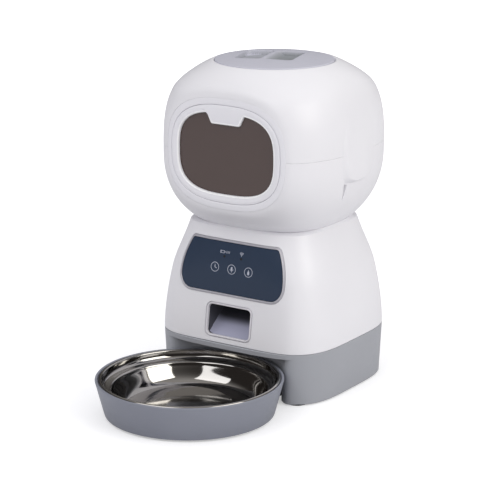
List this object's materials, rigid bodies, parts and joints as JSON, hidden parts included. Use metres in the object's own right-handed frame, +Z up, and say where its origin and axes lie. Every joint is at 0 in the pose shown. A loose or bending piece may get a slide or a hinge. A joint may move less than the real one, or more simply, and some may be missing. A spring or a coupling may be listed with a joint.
{
  "type": "automatic pet feeder",
  "caption": "Free-standing dry food dispenser: a rounded store with a window sits on a leaning body with a control panel and chute, over a docked round steel bowl.",
  "frame": {"origin": "on the floor, under the middle of the object's box", "axes": "+Z up, -Y towards the pet, where the bowl and the panel are, +X to the right of someone facing the panel"},
  "size_m": [0.2008, 0.3356, 0.3226],
  "materials": {
    "lid_abs": "satin moulded ABS, light grey",
    "seal_silicone": "translucent silicone",
    "inner_abs": "plain moulded ABS",
    "shell_abs": "fine satin gloss, white ABS",
    "face_abs": "satin moulded ABS, off-white",
    "smoked_pane": "polished, smoked brown, see-through",
    "bush_brass": "turned",
    "soft_vane": "soft moulded elastomer",
    "nylon": "moulded nylon",
    "shaft_steel": "ground",
    "black_abs": "fine moulded texture, black",
    "motor_can": "drawn and plated",
    "chute_abs": "smooth moulded ABS, lavender grey",
    "trim_silver": "satin silver-grey",
    "panel_navy": "high gloss, navy",
    "board_green": "solder mask",
    "spring_steel": "bright",
    "lamp_clear": "clear lens",
    "base_abs": "satin moulded ABS, grey",
    "cell_wrap": "printed sleeve, plain",
    "foot_rubber": "matt",
    "tray_abs": "satin moulded ABS, grey",
    "bowl_steel": "polished stainless steel"
  },
  "bodies": {
    "housing": {"head_upper_shell": "shell_abs", "head_lower_shell": "shell_abs", "face_bezel": "face_abs", "window_frame": "face_abs", "window_pane": "smoked_pane", "side_ear_left": "shell_abs", "side_ear_right": "shell_abs", "hopper_funnel": "inner_abs", "paddle_drum": "inner_abs", "shaft_bush": "bush_brass", "gearbox": "black_abs", "drive_motor": "motor_can", "turn_sensor": "black_abs", "chute": "chute_abs", "chute_frame": "trim_silver", "body_shell": "shell_abs", "panel_bezel": "trim_silver", "panel_face": "panel_navy", "main_board": "board_green", "touch_spring_1": "spring_steel", "touch_spring_2": "spring_steel", "touch_spring_3": "spring_steel", "status_lamp_1": "lamp_clear", "status_lamp_2": "lamp_clear", "microphone": "motor_can", "speaker": "black_abs", "chassis": "inner_abs", "base_skirt": "base_abs", "base_plate": "black_abs", "battery_bay": "black_abs", "battery_cell_1": "cell_wrap", "battery_cell_2": "cell_wrap", "battery_cell_3": "cell_wrap", "battery_contact_left": "spring_steel", "battery_contact_right": "spring_steel", "power_socket": "black_abs", "foot_1": "foot_rubber", "foot_2": "foot_rubber", "foot_3": "foot_rubber", "foot_4": "foot_rubber", "base_screw_1": "spring_steel", "base_screw_2": "spring_steel", "base_screw_3": "spring_steel", "base_screw_4": "spring_steel"},
    "lid_seal_ring": {"lid_seal": "seal_silicone"},
    "lid": {"lid_cap": "lid_abs", "drying_box": "inner_abs"},
    "drying_cover": {"drying_box_cover": "inner_abs"},
    "rotor": {"paddle_wheel": "soft_vane", "stirrer": "nylon", "rotor_shaft": "shaft_steel", "driven_gear": "nylon"},
    "pinion": {"drive_pinion": "nylon", "motor_shaft": "shaft_steel"},
    "tray": {"bowl_tray": "tray_abs", "tray_tongue": "black_abs"},
    "bowl": {"steel_bowl": "bowl_steel"},
    "battery_hatch": {"battery_door": "black_abs"}
  },
  "joints": [
    {"name": "lid_lift", "type": "slide", "parent": "housing", "child": "lid_seal_ring", "axis": [0, 0, 1], "range_m": [0, 0.08]},
    {"name": "lid_turn", "type": "hinge", "parent": "lid_seal_ring", "child": "lid", "pos_m": [0, 0.0692, 0.316], "axis": [0, 0, 1], "range_deg": [-25, 0]},
    {"name": "drying_cover_pull", "type": "slide", "parent": "lid", "child": "drying_cover", "axis": [0, 0, -1], "range_m": [0, 0.02]},
    {"name": "rotor_spin", "type": "hinge", "parent": "housing", "child": "rotor", "pos_m": [0, 0.0732, 0.12], "axis": [0, 0, 1], "continuous": true},
    {"name": "pinion_spin", "type": "hinge", "parent": "housing", "child": "pinion", "pos_m": [0, 0.0972, 0.1], "axis": [0, 0, 1], "continuous": true},
    {"name": "tray_slide", "type": "slide", "parent": "housing", "child": "tray", "axis": [0, -1, 0], "range_m": [0, 0.06]},
    {"name": "bowl_lift", "type": "slide", "parent": "tray", "child": "bowl", "axis": [0, 0, 1], "range_m": [0, 0.009]},
    {"name": "battery_door_slide", "type": "slide", "parent": "housing", "child": "battery_hatch", "axis": [0, -1, 0], "range_m": [0, 0.01]}
  ],
  "couplings": [
    {"joint": "pinion_spin", "follows": "rotor_spin", "ratio": -2}
  ]
}
